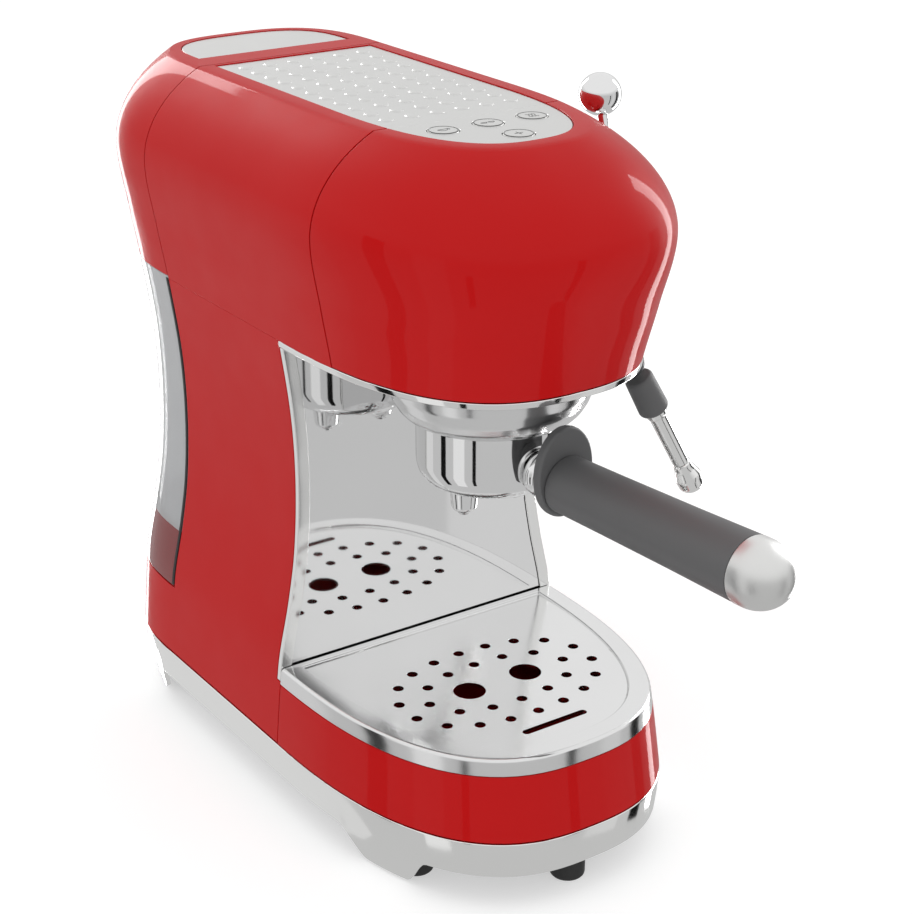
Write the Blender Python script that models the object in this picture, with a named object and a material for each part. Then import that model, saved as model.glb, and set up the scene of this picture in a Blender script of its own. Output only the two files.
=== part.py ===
"""Compact retro pump espresso machine, built as separate closed solids.

Lengths here are millimetres, and new_object() scales them to metres. +Z is up, the machine
faces -Y and z = 0 is the counter. While modelling, y = 0 is the foot of the back panel.
shift_to_base_centre() then puts the origin at the middle of the whole machine's plan.
"""
import math

import bmesh
import bpy
from mathutils import Matrix, Vector

MM = 0.001
GAP = 0.3                    # clearance between touching pieces

# Heights above the counter
SKIRT_LOW_Z = 17.0           # lower edge of the steel skirt between its feet
SKIRT_TOP_Z = 34.5
BAND_TOP_Z = 65.5            # upper edge of the painted drip tray band
DECK_Z = 73.4                # top of the drip cover
HEAD_Z = 231.5               # lower edge of the painted head
WIDEST_Z = 288.0
TOP_Z = 329.0

# Plan sizes: straight sides between y = 0 and the rear seam, superellipses at both ends
FRONT_SEAM_Y = -40.0         # joint between front shell and body shell
REAR_SEAM_Y = 106.5          # joint between body and water tank
WIDTHS = ((34.5, 80.8), (66.0, 77.8), (80.0, 75.9), (104.0, 70.6), (130.0, 66.4), (163.0, 64.6),
          (195.0, 65.8), (231.5, 70.6), (258.0, 75.0), (288.0, 79.2), (318.0, 75.0))
WIDEST = 79.2                # half width at WIDEST_Z
SHOULDER_SIDE = 52.0         # heights of the ellipses that close the head above WIDEST_Z
SHOULDER_FRONT = 57.9
SHOULDER_REAR = 77.0
NOSE_RATIO = 1.70            # reach of the nose ahead of y = 0, per half width
NOSE_POWER = 2.6
REAR_REACH = 72.0            # how far the base runs behind the rear seam
REAR_POWER = 3.0

# Walls and trims
WALL = 2.5
TRIM_DEPTH = 2.4
TRIM_WIDTH = 6.0
PLATE_HALF = 41.6            # half width of the cup plate on top
PLATE_NOSE = 88.0            # reach of its rounded front
PLATE_REAR_Y = 104.2
CONTROL_Y = -40.5            # line between cup plate and control panel
LID_FRONT_Y = 122.5
LID_REACH = 40.0

# Tank
TANK_LOW_Z = 71.0
TANK_TOP_Z = 232.5
TANK_VALVE_Y = 130.0
BULKHEAD_Y = 102.0
PUMP_Y = 55.0

# Brewing group
GROUP_Y = -57.0
HANDLE_TURN = math.radians(5.0)      # locked position of the handle, towards +X
CUP_R = 32.5
CUP_LOW_Z = 171.5
HANDLE_Z = 185.0
GRIP_START = 49.5                    # distances from the group axis along the handle
GRIP_END = 154.0
DOME_END = 174.0

# Steam
LEVER_HUB = (88.0, -24.0, 291.0)
LEVER_BALL = (88.0, -15.8, 321.9)
BALL_R = 9.7
WAND_PIVOT = (55.0, -84.5, 221.3)
WAND_TIP = (91.6, -88.0, 154.4)

# Controls
BUTTON_SPACING = 22.2
BUTTON_ROW_Y = -54.0
BUTTON_FRONT_Y = -75.4
BUTTON_R = 6.6

NOSE_STEPS = 16
REAR_STEPS = 14


def clear_scene():
    """Empty the file without closing it."""
    for obj in list(bpy.data.objects):
        bpy.data.objects.remove(obj, do_unlink=True)


FINISHES = {
    "red_paint": ((0.46, 0.008, 0.010), 0.22, 0.0),
    "polished_steel": ((0.80, 0.80, 0.79), 0.12, 1.0),
    "satin_steel": ((0.72, 0.72, 0.71), 0.32, 1.0),
    "chrome": ((0.86, 0.86, 0.86), 0.06, 1.0),
    "grey_grip": ((0.10, 0.10, 0.10), 0.55, 0.0),
    "black_rubber": ((0.02, 0.02, 0.02), 0.70, 0.0),
    "dark_plastic": ((0.05, 0.05, 0.05), 0.50, 0.0),
    "grey_plastic": ((0.42, 0.42, 0.42), 0.45, 0.0),
    "clear_plastic": ((0.62, 0.66, 0.68), 0.08, 0.0),
    "aluminium": ((0.55, 0.55, 0.56), 0.45, 1.0),
    "silicone": ((0.75, 0.75, 0.72), 0.50, 0.0),
    "circuit_green": ((0.02, 0.16, 0.06), 0.50, 0.0),
}


def give_finish(obj, finish):
    """Give the object its own Principled material."""
    color, roughness, metallic = FINISHES[finish]
    mat = bpy.data.materials.new(obj.name + "_" + finish)
    mat.use_nodes = True
    shader = mat.node_tree.nodes["Principled BSDF"]
    shader.inputs["Base Color"].default_value = (*color, 1.0)
    shader.inputs["Roughness"].default_value = roughness
    shader.inputs["Metallic"].default_value = metallic
    mat.diffuse_color = (*color, 1.0)
    obj.data.materials.append(mat)


def new_object(name, bm, finish, origin=(0, 0, 0), smooth=True):
    """Turn a bmesh in millimetres into an object in metres with its origin at `origin`."""
    bmesh.ops.translate(bm, verts=bm.verts, vec=-Vector(origin))
    bmesh.ops.scale(bm, verts=bm.verts, vec=(MM, MM, MM))
    mesh = bpy.data.meshes.new(name)
    bm.to_mesh(mesh)
    bm.free()
    obj = bpy.data.objects.new(name, mesh)
    obj.location = Vector(origin) * MM
    bpy.context.collection.objects.link(obj)
    give_finish(obj, finish)
    if smooth:
        mesh.shade_smooth()
        mesh.set_sharp_from_angle(angle=math.radians(35))
    return obj


def thicken(obj, wall):
    """Add a wall on the inner side of an open surface."""
    mod = obj.modifiers.new("wall", "SOLIDIFY")
    mod.thickness = wall * MM
    mod.offset = -1.0
    mod.use_even_offset = True
    return obj


def cut(obj, cutter):
    """Subtract a cutter object, which stays in the file as a guide."""
    cutter.hide_render = True
    cutter.display_type = "WIRE"
    mod = obj.modifiers.new("cut", "BOOLEAN")
    mod.operation = "DIFFERENCE"
    mod.solver = "EXACT"
    mod.object = cutter
    return obj


# ---------------------------------------------------------------- body lines

def spline(knots, t):
    """Smooth curve through (t, value) knots."""
    last = len(knots) - 1
    i = 0
    while i < last - 1 and t > knots[i + 1][0]:
        i += 1
    (t0, v0), (t1, v1) = knots[i], knots[i + 1]
    before = knots[max(i - 1, 0)]
    after = knots[min(i + 2, last)]
    slope0 = (v1 - before[1]) / (t1 - before[0])
    slope1 = (after[1] - v0) / (after[0] - t0)
    span = t1 - t0
    s = (t - t0) / span
    start = (2 * s**3 - 3 * s**2 + 1) * v0 + (s**3 - 2 * s**2 + s) * span * slope0
    end = (3 * s**2 - 2 * s**3) * v1 + (s**3 - s**2) * span * slope1
    return start + end


def shoulder(z, height):
    """Shrink factor of the head above its widest line."""
    return math.sqrt(1.0 - ((z - WIDEST_Z) / height) ** 2)


def half_width(z):
    if z > WIDEST_Z:
        return WIDEST * shoulder(z, SHOULDER_SIDE)
    return spline(WIDTHS, max(z, SKIRT_TOP_Z))


def front_reach(z):
    """Length of the rounded nose ahead of y = 0."""
    if z > WIDEST_Z:
        return NOSE_RATIO * WIDEST * shoulder(z, SHOULDER_FRONT)
    return NOSE_RATIO * half_width(z)


def rear_reach(z):
    """How far the rounded rear runs behind the rear seam."""
    if z > WIDEST_Z:
        return rear_reach(WIDEST_Z) * shoulder(z, SHOULDER_REAR)
    return REAR_REACH - 0.33 * (WIDTHS[0][1] - half_width(z))


def round_end(half, reach, power, start, steps, start_y=0.0):
    """Points of a superellipse round +Y, from +X to -X, that starts at height start above its axis."""
    start_x = half * (1.0 - (start / reach) ** power) ** (1.0 / power)
    first = math.atan2(start, start_x)
    points = []
    for i in range(steps + 1):
        turn = first + (math.pi - 2 * first) * i / steps
        c, s = math.cos(turn), math.sin(turn)
        r = (abs(c / half) ** power + abs(s / reach) ** power) ** (-1.0 / power)
        points.append((r * c, start_y + r * s))
    return points


def front_arc(half, reach, start_y=0.0, steps=NOSE_STEPS):
    """Outline round the nose from -X to +X, ahead of start_y."""
    return [(-x, -y) for x, y in round_end(half, reach, NOSE_POWER, -start_y, steps)]


def rear_arc(half, reach, start_y, steps=REAR_STEPS):
    """Outline round the rear from +X to -X, behind start_y."""
    return round_end(half, reach, REAR_POWER, 0.0, steps, start_y)


def side_x(half, reach, y):
    """Half width of an outline at y, along its straight side or its nose."""
    return half * (1.0 - (max(0.0, -y) / reach) ** NOSE_POWER) ** (1.0 / NOSE_POWER)


def full_plan(z, inset=0.0):
    """Closed outline of the whole body at height z, counter-clockwise from above."""
    half = half_width(z) - inset
    front = front_arc(half, front_reach(z) - inset)
    rear = rear_arc(half, rear_reach(z) - inset, REAR_SEAM_Y)
    return front + [(half, 50.0)] + rear + [(-half, 50.0)]


def nose_plan(z, end_y, inset=0.0):
    """Closed outline of the body ahead of end_y."""
    half = half_width(z) - inset
    reach = front_reach(z) - inset
    if end_y < 0:
        return front_arc(half, reach, end_y)
    return [(-half, end_y)] + front_arc(half, reach) + [(half, end_y)]


def levels(low, high, count):
    return [low + (high - low) * i / count for i in range(count + 1)]


def shoulder_levels(count):
    """Heights that follow the head's shoulder in equal turns, above WIDEST_Z."""
    end = math.asin((TOP_Z - WIDEST_Z) / SHOULDER_SIDE)
    return [WIDEST_Z + SHOULDER_SIDE * math.sin(end * i / count) for i in range(1, count + 1)]


# ---------------------------------------------------------------- mesh makers

def grid(rows, closed=False, keep=None):
    """Bmesh of quads between equal rows of points. keep(row, column) drops cells."""
    bm = bmesh.new()
    made = [[bm.verts.new(p) for p in row] for row in rows]
    columns = len(rows[0]) if closed else len(rows[0]) - 1
    for i in range(len(rows) - 1):
        low, high = made[i], made[i + 1]
        for j in range(columns):
            if keep is None or keep(i, j):
                k = (j + 1) % len(low)
                bm.faces.new((low[j], low[k], high[k], high[j]))
    bmesh.ops.remove_doubles(bm, verts=bm.verts, dist=0.01)
    loose = [v for v in bm.verts if not v.link_faces]
    bmesh.ops.delete(bm, geom=loose, context="VERTS")
    return bm


def prism(outline, low, high):
    """Closed solid between two heights over a plan outline."""
    bm = bmesh.new()
    face = bm.faces.new([bm.verts.new((x, y, low)) for x, y in outline])
    made = bmesh.ops.extrude_face_region(bm, geom=[face])
    top = [v for v in made["geom"] if isinstance(v, bmesh.types.BMVert)]
    bmesh.ops.translate(bm, verts=top, vec=(0, 0, high - low))
    bmesh.ops.recalc_face_normals(bm, faces=bm.faces)
    return bm


def turned(profile, segments=24, closed=False):
    """Solid of revolution about Z from (radius, height) points."""
    bm = bmesh.new()
    points = [(r, 0.0, h) for r, h in profile]
    verts = [bm.verts.new(p) for p in points]
    edges = [bm.edges.new(pair) for pair in zip(verts, verts[1:])]
    if closed:
        edges.append(bm.edges.new((verts[-1], verts[0])))
    bmesh.ops.spin(bm, geom=verts + edges, axis=(0, 0, 1), cent=(0, 0, 0),
                   angle=2 * math.pi, steps=segments, use_merge=True)
    bmesh.ops.remove_doubles(bm, verts=bm.verts, dist=0.001)
    bmesh.ops.recalc_face_normals(bm, faces=bm.faces)
    return bm


def place(bm, at, direction=(0, 0, 1)):
    """Turn a solid's Z towards `direction` and move its origin to `at`."""
    turn = Vector((0, 0, 1)).rotation_difference(Vector(direction)).to_matrix().to_4x4()
    bmesh.ops.transform(bm, matrix=Matrix.Translation(at) @ turn, verts=bm.verts)
    return bm


def block(low, high, bevel=0.0):
    """Box between two corners, with rounded edges."""
    bm = bmesh.new()
    bmesh.ops.create_cube(bm, size=1.0)
    size = Vector(high) - Vector(low)
    middle = (Vector(high) + Vector(low)) / 2
    bmesh.ops.scale(bm, vec=size, verts=bm.verts)
    bmesh.ops.translate(bm, vec=middle, verts=bm.verts)
    if bevel:
        bmesh.ops.bevel(bm, geom=bm.edges[:], offset=bevel, segments=1, affect="EDGES")
    return bm


def hose(points, radius, sides=8, steps=4):
    """Round tube of constant section along a smooth curve through the points."""
    knots = [Vector(p) for p in points]
    path = []
    for i in range(len(knots) - 1):
        a, b = knots[max(i - 1, 0)], knots[i]
        c, d = knots[i + 1], knots[min(i + 2, len(knots) - 1)]
        for k in range(steps):
            s = k / steps
            cubic = 2 * b + (c - a) * s + (2 * a - 5 * b + 4 * c - d) * s**2
            path.append((cubic + (3 * b - a - 3 * c + d) * s**3) / 2)
    path.append(knots[-1])
    rows = []
    side = None
    for i, point in enumerate(path):
        tangent = (path[min(i + 1, len(path) - 1)] - path[max(i - 1, 0)]).normalized()
        if side is None:
            side = tangent.orthogonal().normalized()
        side = (side - tangent * side.dot(tangent)).normalized()
        other = tangent.cross(side)
        turns = [2 * math.pi * k / sides for k in range(sides)]
        rows.append([point + radius * (side * math.cos(t) + other * math.sin(t)) for t in turns])
    bm = grid(rows, closed=True)
    bmesh.ops.holes_fill(bm, edges=[e for e in bm.edges if e.is_boundary], sides=0)
    bmesh.ops.recalc_face_normals(bm, faces=bm.faces)
    return bm


# ---------------------------------------------------------------- base

def foot_drop(x, y):
    """1 where the skirt reaches down to a foot, 0 between feet, smooth in between."""
    def ramp(value, start, end):
        s = min(max((value - start) / (end - start), 0.0), 1.0)
        return s * s * (3 - 2 * s)
    front = ramp(y, -48.0, -68.0) * ramp(y, -101.0, -92.0)
    rear = ramp(y, 122.0, 133.0) * ramp(abs(x), 34.0, 44.0)
    return max(front, rear)


def base_plan(inset=0.0):
    """Skirt outline, finer than the body's because the feet's flanks curve."""
    half = half_width(SKIRT_TOP_Z) - inset
    front = front_arc(half, front_reach(SKIRT_TOP_Z) - inset, steps=48)
    rear = rear_arc(half, REAR_REACH - inset, REAR_SEAM_Y, steps=36)
    return front + [(half, 50.0)] + rear + [(-half, 50.0)]


def make_base():
    foot_height = SKIRT_LOW_Z - 1.8
    foot_taper = 6.0
    low = []
    for (x, y), (inner_x, inner_y) in zip(base_plan(), base_plan(foot_taper)):
        drop = foot_drop(x, y)
        lean = 0.25 + 0.75 * drop
        low.append((x + (inner_x - x) * lean, y + (inner_y - y) * lean, SKIRT_LOW_Z - foot_height * drop))
    rows = [low, [(x, y, SKIRT_TOP_Z) for x, y in base_plan()]]
    thicken(new_object("base_skirt", grid(rows, closed=True), "polished_steel"), WALL)
    deck = full_plan(SKIRT_TOP_Z, WALL + 1.2)
    new_object("base_deck", prism(deck, SKIRT_TOP_Z - 3.0, SKIRT_TOP_Z), "grey_plastic", smooth=False)
    cover = full_plan(SKIRT_TOP_Z, WALL + 3.4)
    cover_z = SKIRT_LOW_Z + 1.0
    new_object("bottom_cover", prism(cover, cover_z, cover_z + 2.2), "dark_plastic", smooth=False)
    pads = {"foot_front_left": (-54, -78), "foot_front_right": (54, -78),
            "foot_rear_left": (-54, 145), "foot_rear_right": (54, 145), "foot_nose": (0, -119)}
    for name, (x, y) in pads.items():
        profile = [(0, 0), (6.4, 0), (8, 1.6), (8, cover_z - GAP), (0, cover_z - GAP)]
        new_object(name, place(turned(profile, 16), (x, y, 0)), "black_rubber")


# ---------------------------------------------------------------- painted shells

def column_edge_y(z):
    """Front edge of the painted column at height z."""
    if z < BAND_TOP_Z + 1.4:
        return -0.6
    return TRIM_DEPTH + GAP


def make_body_shell():
    """Column sides, rear sill and the middle of the head, as one shell."""
    heights = levels(SKIRT_TOP_Z + 4 * GAP, BAND_TOP_Z + 1.3, 2)
    heights += [BAND_TOP_Z + 1.6, TANK_LOW_Z - 2 * GAP]
    heights += levels(DECK_Z, HEAD_Z, 10)
    head_row = len(heights) - 1
    heights += levels(HEAD_Z, WIDEST_Z, 4)[1:] + shoulder_levels(6)
    sill_row = 4
    last_row = len(heights) - 1

    def side_stations(z):
        edge = column_edge_y(z)
        if z >= HEAD_Z:
            first = levels(FRONT_SEAM_Y + GAP, column_edge_y(HEAD_Z), 2)
        else:
            first = [edge] * 3
        return first + levels(edge, PLATE_REAR_Y + GAP, 4)[1:] + [REAR_SEAM_Y]

    rows = []
    for z in heights:
        half = half_width(z)
        side = [(side_x(half, front_reach(z), y), y) for y in side_stations(z)]
        rear = rear_arc(half, rear_reach(z), REAR_SEAM_Y)[1:-1]
        plan = side + rear + [(-x, y) for x, y in reversed(side)]
        rows.append([(x, y, z) for x, y in plan])
    for share in (1.0, 0.5, 0.0):
        lip = [side_x(PLATE_HALF + GAP, PLATE_NOSE + GAP, y) * share for _, y, _ in rows[last_row]]
        rows.append([(math.copysign(v, x), y, TOP_Z) for v, (x, y, _) in zip(lip, rows[last_row])])

    sides = len(side_stations(HEAD_Z)) - 1
    columns = len(rows[0]) - 1

    def keep(i, j):
        from_front = min(j, columns - 1 - j)
        if from_front >= sides:
            return i < sill_row
        if i > last_row:
            return from_front == sides - 1
        return from_front >= 2 or i >= head_row

    thicken(new_object("body_shell", grid(rows, keep=keep), "red_paint"), WALL)


def make_front_shell():
    heights = levels(HEAD_Z + GAP, WIDEST_Z, 4) + shoulder_levels(6)
    rows = []
    for z in heights:
        plan = nose_plan(z, FRONT_SEAM_Y - GAP)
        rows.append([(x, y, z) for x, y in plan])
    lip = front_arc(PLATE_HALF + GAP, PLATE_NOSE + GAP, FRONT_SEAM_Y - GAP)
    rows.append([(x, y, TOP_Z) for x, y in lip])
    thicken(new_object("head_front_shell", grid(rows), "red_paint"), WALL)


def tank_plan(z, inset=0.0):
    """Closed outline of the tank side of the body at height z."""
    return rear_arc(half_width(z) - inset, rear_reach(z) - inset - 0.5, REAR_SEAM_Y + 0.5)


def make_tank():
    rows = [[(x, y, z) for x, y in tank_plan(z)] for z in levels(TANK_LOW_Z, TANK_TOP_Z, 12)]
    bm = grid(rows, closed=True)
    bm.faces.ensure_lookup_table()
    low = [e for e in bm.edges if e.is_boundary and e.verts[0].co.z < TANK_LOW_Z + 1]
    bmesh.ops.holes_fill(bm, edges=low, sides=0)
    bmesh.ops.recalc_face_normals(bm, faces=bm.faces)
    thicken(new_object("water_tank", bm, "clear_plastic"), 2.2)

    heights = levels(TANK_TOP_Z + 0.4, WIDEST_Z, 4) + shoulder_levels(6)
    rows = [[(x, y, z) for x, y in tank_plan(z)] for z in heights]
    rim = rear_arc(PLATE_HALF - 0.6, LID_REACH + 0.6, LID_FRONT_Y - 0.6)
    rows.append([(x, y, TOP_Z) for x, y in rim])
    thicken(new_object("tank_cap", grid(rows, closed=True), "red_paint"), WALL)

    lid = rear_arc(PLATE_HALF - 1.2, LID_REACH, LID_FRONT_Y)
    new_object("tank_lid", prism(lid, TOP_Z - 2.2, TOP_Z - 0.4), "satin_steel",
               origin=(0, LID_FRONT_Y, TOP_Z - 0.4), smooth=False)

    seat_z = TANK_LOW_Z - 6.0
    inset = WALL + 1.2
    seat = rear_arc(half_width(seat_z) - inset, rear_reach(seat_z) - inset, REAR_SEAM_Y + 0.5)
    new_object("tank_seat", prism(seat, seat_z, seat_z + 3.0), "dark_plastic", smooth=False)
    valve = [(0, 2.8), (8, 2.8), (8, 6.5), (5, 8.5), (5, 16), (0, 16)]
    new_object("tank_valve", place(turned(valve, 16), (0, TANK_VALVE_Y, TANK_LOW_Z)), "dark_plastic")


def make_bulkheads():
    """Wall behind the tank: painted below, grey above, closing the column's rear."""
    def wall(name, low, high, finish):
        right = [(half_width(z) - WALL - 0.8, BULKHEAD_Y, z) for z in levels(low, high, 8)]
        outline = right + [(-x, y, z) for x, y, z in reversed(right)]
        bm = bmesh.new()
        face = bm.faces.new([bm.verts.new(p) for p in outline])
        made = bmesh.ops.extrude_face_region(bm, geom=[face])
        back = [v for v in made["geom"] if isinstance(v, bmesh.types.BMVert)]
        bmesh.ops.translate(bm, verts=back, vec=(0, 2.4, 0))
        bmesh.ops.recalc_face_normals(bm, faces=bm.faces)
        new_object(name, bm, finish, smooth=False)
    wall("rear_sill", 54.0, 104.0, "red_paint")
    wall("rear_bulkhead", 104.4, 300.0, "grey_plastic")


# ---------------------------------------------------------------- steel trims and panels

def panel_sheet(name, front_y, thickness, inset, finish):
    """Upright sheet across the column, with side edges that follow the body."""
    heights = levels(BAND_TOP_Z + 1.6, HEAD_Z - 3.4, 14)
    right = [(half_width(z) - inset, front_y, z) for z in heights]
    bm = grid([right, [(-x, y, z) for x, y, z in right]])
    return thicken(new_object(name, bm, finish, smooth=False), thickness)


def make_back_panel():
    panel_sheet("back_panel", 0.3, 1.2, TRIM_WIDTH + GAP, "polished_steel")
    panel_sheet("chassis_plate", 4.0, 2.5, WALL + 1.2, "dark_plastic")
    for side, name in ((-1, "panel_trim_left"), (1, "panel_trim_right")):
        rows = []
        for z in levels(BAND_TOP_Z + 1.6, HEAD_Z - 3.4, 14):
            outer, inner = half_width(z), half_width(z) - TRIM_WIDTH
            corners = [(inner, -0.5), (outer, -0.5), (outer, TRIM_DEPTH), (inner, TRIM_DEPTH)]
            rows.append([(side * x, y, z) for x, y in corners])
        bm = grid(rows, closed=True)
        bmesh.ops.holes_fill(bm, edges=[e for e in bm.edges if e.is_boundary], sides=0)
        bmesh.ops.recalc_face_normals(bm, faces=bm.faces)
        new_object(name, bm, "polished_steel")


def make_head_trims():
    tip_y = TRIM_DEPTH
    low, high = HEAD_Z - 2.9, HEAD_Z - 0.1
    outer = nose_plan(HEAD_Z, tip_y)
    inner = nose_plan(HEAD_Z, tip_y, 3.6)
    outline = outer + list(reversed(inner))
    new_object("head_trim", prism(outline, low, high), "polished_steel")
    plate = prism(nose_plan(HEAD_Z, tip_y, 3.9), low + 0.4, high - 0.6)
    under = new_object("head_underside", plate, "satin_steel", smooth=False)
    bore = place(turned([(0, 210), (35, 210), (35, 240), (0, 240)], 24), (0, GROUP_Y, 0))
    cut(under, new_object("underside_bore", bore, "satin_steel"))


def make_top_plates():
    """Cup plate, control panel and buttons, set into the top opening."""
    surface = TOP_Z - 0.5
    rest = TOP_Z - 2.4
    rear = [(PLATE_HALF, PLATE_REAR_Y), (-PLATE_HALF, PLATE_REAR_Y)]
    sides = [(side_x(PLATE_HALF, PLATE_NOSE, y), y) for y in levels(CONTROL_Y + GAP, 0.0, 4)]
    front = [(-x, y) for x, y in reversed(sides)] + sides
    new_object("cup_plate", prism(front + rear, rest, surface), "satin_steel", smooth=False)
    outline = front_arc(PLATE_HALF, PLATE_NOSE, CONTROL_Y)
    panel = new_object("control_panel", prism(outline, rest, surface), "satin_steel", smooth=False)
    spots = {"button_one_cup": (-BUTTON_SPACING, BUTTON_ROW_Y), "button_two_cups": (0, BUTTON_ROW_Y),
             "button_steam": (BUTTON_SPACING, BUTTON_ROW_Y), "button_program": (0, BUTTON_FRONT_Y)}
    holes = bmesh.new()
    for x, y in spots.values():
        at = Matrix.Translation((x, y, TOP_Z))
        bmesh.ops.create_cone(holes, cap_ends=True, segments=20, radius1=BUTTON_R + GAP,
                              radius2=BUTTON_R + GAP, depth=20, matrix=at)
    cut(panel, new_object("button_holes", holes, "satin_steel"))
    for name, (x, y) in spots.items():
        r = BUTTON_R
        profile = [(0, -4.5), (r, -4.5), (r, -0.7), (r - 0.5, -0.2), (0, -0.2)]
        button = place(turned(profile, 20), (x, y, TOP_Z))
        new_object(name, button, "satin_steel", origin=(x, y, TOP_Z))


# ---------------------------------------------------------------- drip tray

def make_drip_tray():
    end_y = -1.3
    heights = levels(SKIRT_TOP_Z + 0.6, BAND_TOP_Z, 3)
    rows = [[(x, y, z) for x, y in nose_plan(z, end_y)] for z in heights]
    bm = grid(rows, closed=True)
    low = [e for e in bm.edges if e.is_boundary and e.verts[0].co.z < heights[0] + 1]
    bmesh.ops.holes_fill(bm, edges=low, sides=0)
    bmesh.ops.recalc_face_normals(bm, faces=bm.faces)
    thicken(new_object("drip_tray", bm, "red_paint"), WALL)

    skirt = [(x, y, BAND_TOP_Z + GAP) for x, y in nose_plan(BAND_TOP_Z + GAP, end_y)]
    edge = [(x, y, DECK_Z - 1.6) for x, y in nose_plan(DECK_Z - 1.6, end_y)]
    rim = [(x, y, DECK_Z) for x, y in nose_plan(DECK_Z, end_y, 1.2)]
    bm = grid([skirt, edge, rim], closed=True)
    top = [e for e in bm.edges if e.is_boundary and e.verts[0].co.z > DECK_Z - 0.5]
    bmesh.ops.holes_fill(bm, edges=top, sides=0)
    bmesh.ops.recalc_face_normals(bm, faces=bm.faces)
    cover = thicken(new_object("drip_cover", bm, "polished_steel"), 1.5)
    cut(cover, new_object("drip_holes", drip_holes(), "polished_steel"))

    float_body = block((-18, SLOT_Y - 8, 46), (18, SLOT_Y + 8, 63.5), 1.0)
    new_object("tray_float", float_body, "red_paint", origin=(0, SLOT_Y, 55), smooth=False)


DRIP_CENTRE_Y = -64.1
SLOT_Y = -107.7


def drip_hole_spots():
    """Centres of the small holes: an oval ring of each size round the two large holes."""
    spots = []
    for side in (-1, 1):
        spots += [(side * 48.6, -7.2), (side * 48.6, 7.2), (side * 37.1, 0.0)]
        for x, y in ((41.0, 19.8), (28.6, 27.2), (14.5, 30.6), (29.6, 12.8), (15.2, 17.8)):
            spots += [(side * x, y), (side * x, -y)]
    for y in (31.5, 18.9):
        spots += [(0.0, y), (0.0, -y)]
    return [(x, y + DRIP_CENTRE_Y) for x, y in spots]


def drip_holes():
    bm = bmesh.new()
    holes = [(x, y, 2.5) for x, y in drip_hole_spots()]
    holes += [(-15.5, DRIP_CENTRE_Y, 7.4), (15.5, DRIP_CENTRE_Y, 7.4)]
    for x, y, r in holes:
        bmesh.ops.create_cone(bm, cap_ends=True, segments=8 if r < 5 else 16, radius1=r, radius2=r,
                              depth=12, matrix=Matrix.Translation((x, y, DECK_Z)))
    slot = block((-17.2, SLOT_Y - 1.9, DECK_Z - 6), (17.2, SLOT_Y + 1.9, DECK_Z + 6))
    mesh = bpy.data.meshes.new("slot")
    slot.to_mesh(mesh)
    slot.free()
    bm.from_mesh(mesh)
    bpy.data.meshes.remove(mesh)
    return bm


# ---------------------------------------------------------------- brewing group

def on_group(name, profile, finish, segments=32, closed=False):
    return new_object(name, place(turned(profile, segments, closed), (0, GROUP_Y, 0)), finish)


def make_group():
    top = HEAD_Z - 3.2
    collar = [(45.6, top), (45.4, 220), (43.9, 213.0), (41.2, 207.4), (38.0, 203.6), (36.2, 202.6),
              (35.2, 203.4), (35.2, 214.0), (39.0, 218), (41.5, top)]
    on_group("brew_collar", collar, "chrome", closed=True)
    head = [(0, 217.6), (24, 217.6), (24, 219.6), (33.8, 219.6), (33.8, 249), (0, 249)]
    on_group("group_head", head, "aluminium", 24)
    on_group("group_gasket", [(26.4, 213.6), (33.4, 213.6), (33.4, 219.2), (26.4, 219.2)],
             "black_rubber", 24, closed=True)
    screen = [(2.2, 215.2), (25.8, 215.2), (25.8, 217.2), (2.2, 217.2)]
    on_group("shower_screen", screen, "satin_steel", 24, closed=True)
    boiler = [(0, 249.4), (36, 249.4), (40, 253), (40, 288), (36, 293), (0, 293)]
    on_group("boiler", boiler, "aluminium", 24)


def handle_piece(name, bm, finish, smooth=True):
    """Portafilter piece, modelled pointing to -Y and then turned to its locked position."""
    piece = new_object(name, bm, finish, origin=(0, GROUP_Y, 0), smooth=smooth)
    piece.rotation_euler.z = HANDLE_TURN
    return piece


def along_handle(profile, segments=20, at_z=HANDLE_Z):
    return place(turned(profile, segments), (0, GROUP_Y, at_z), (0, -1, 0))


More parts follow.
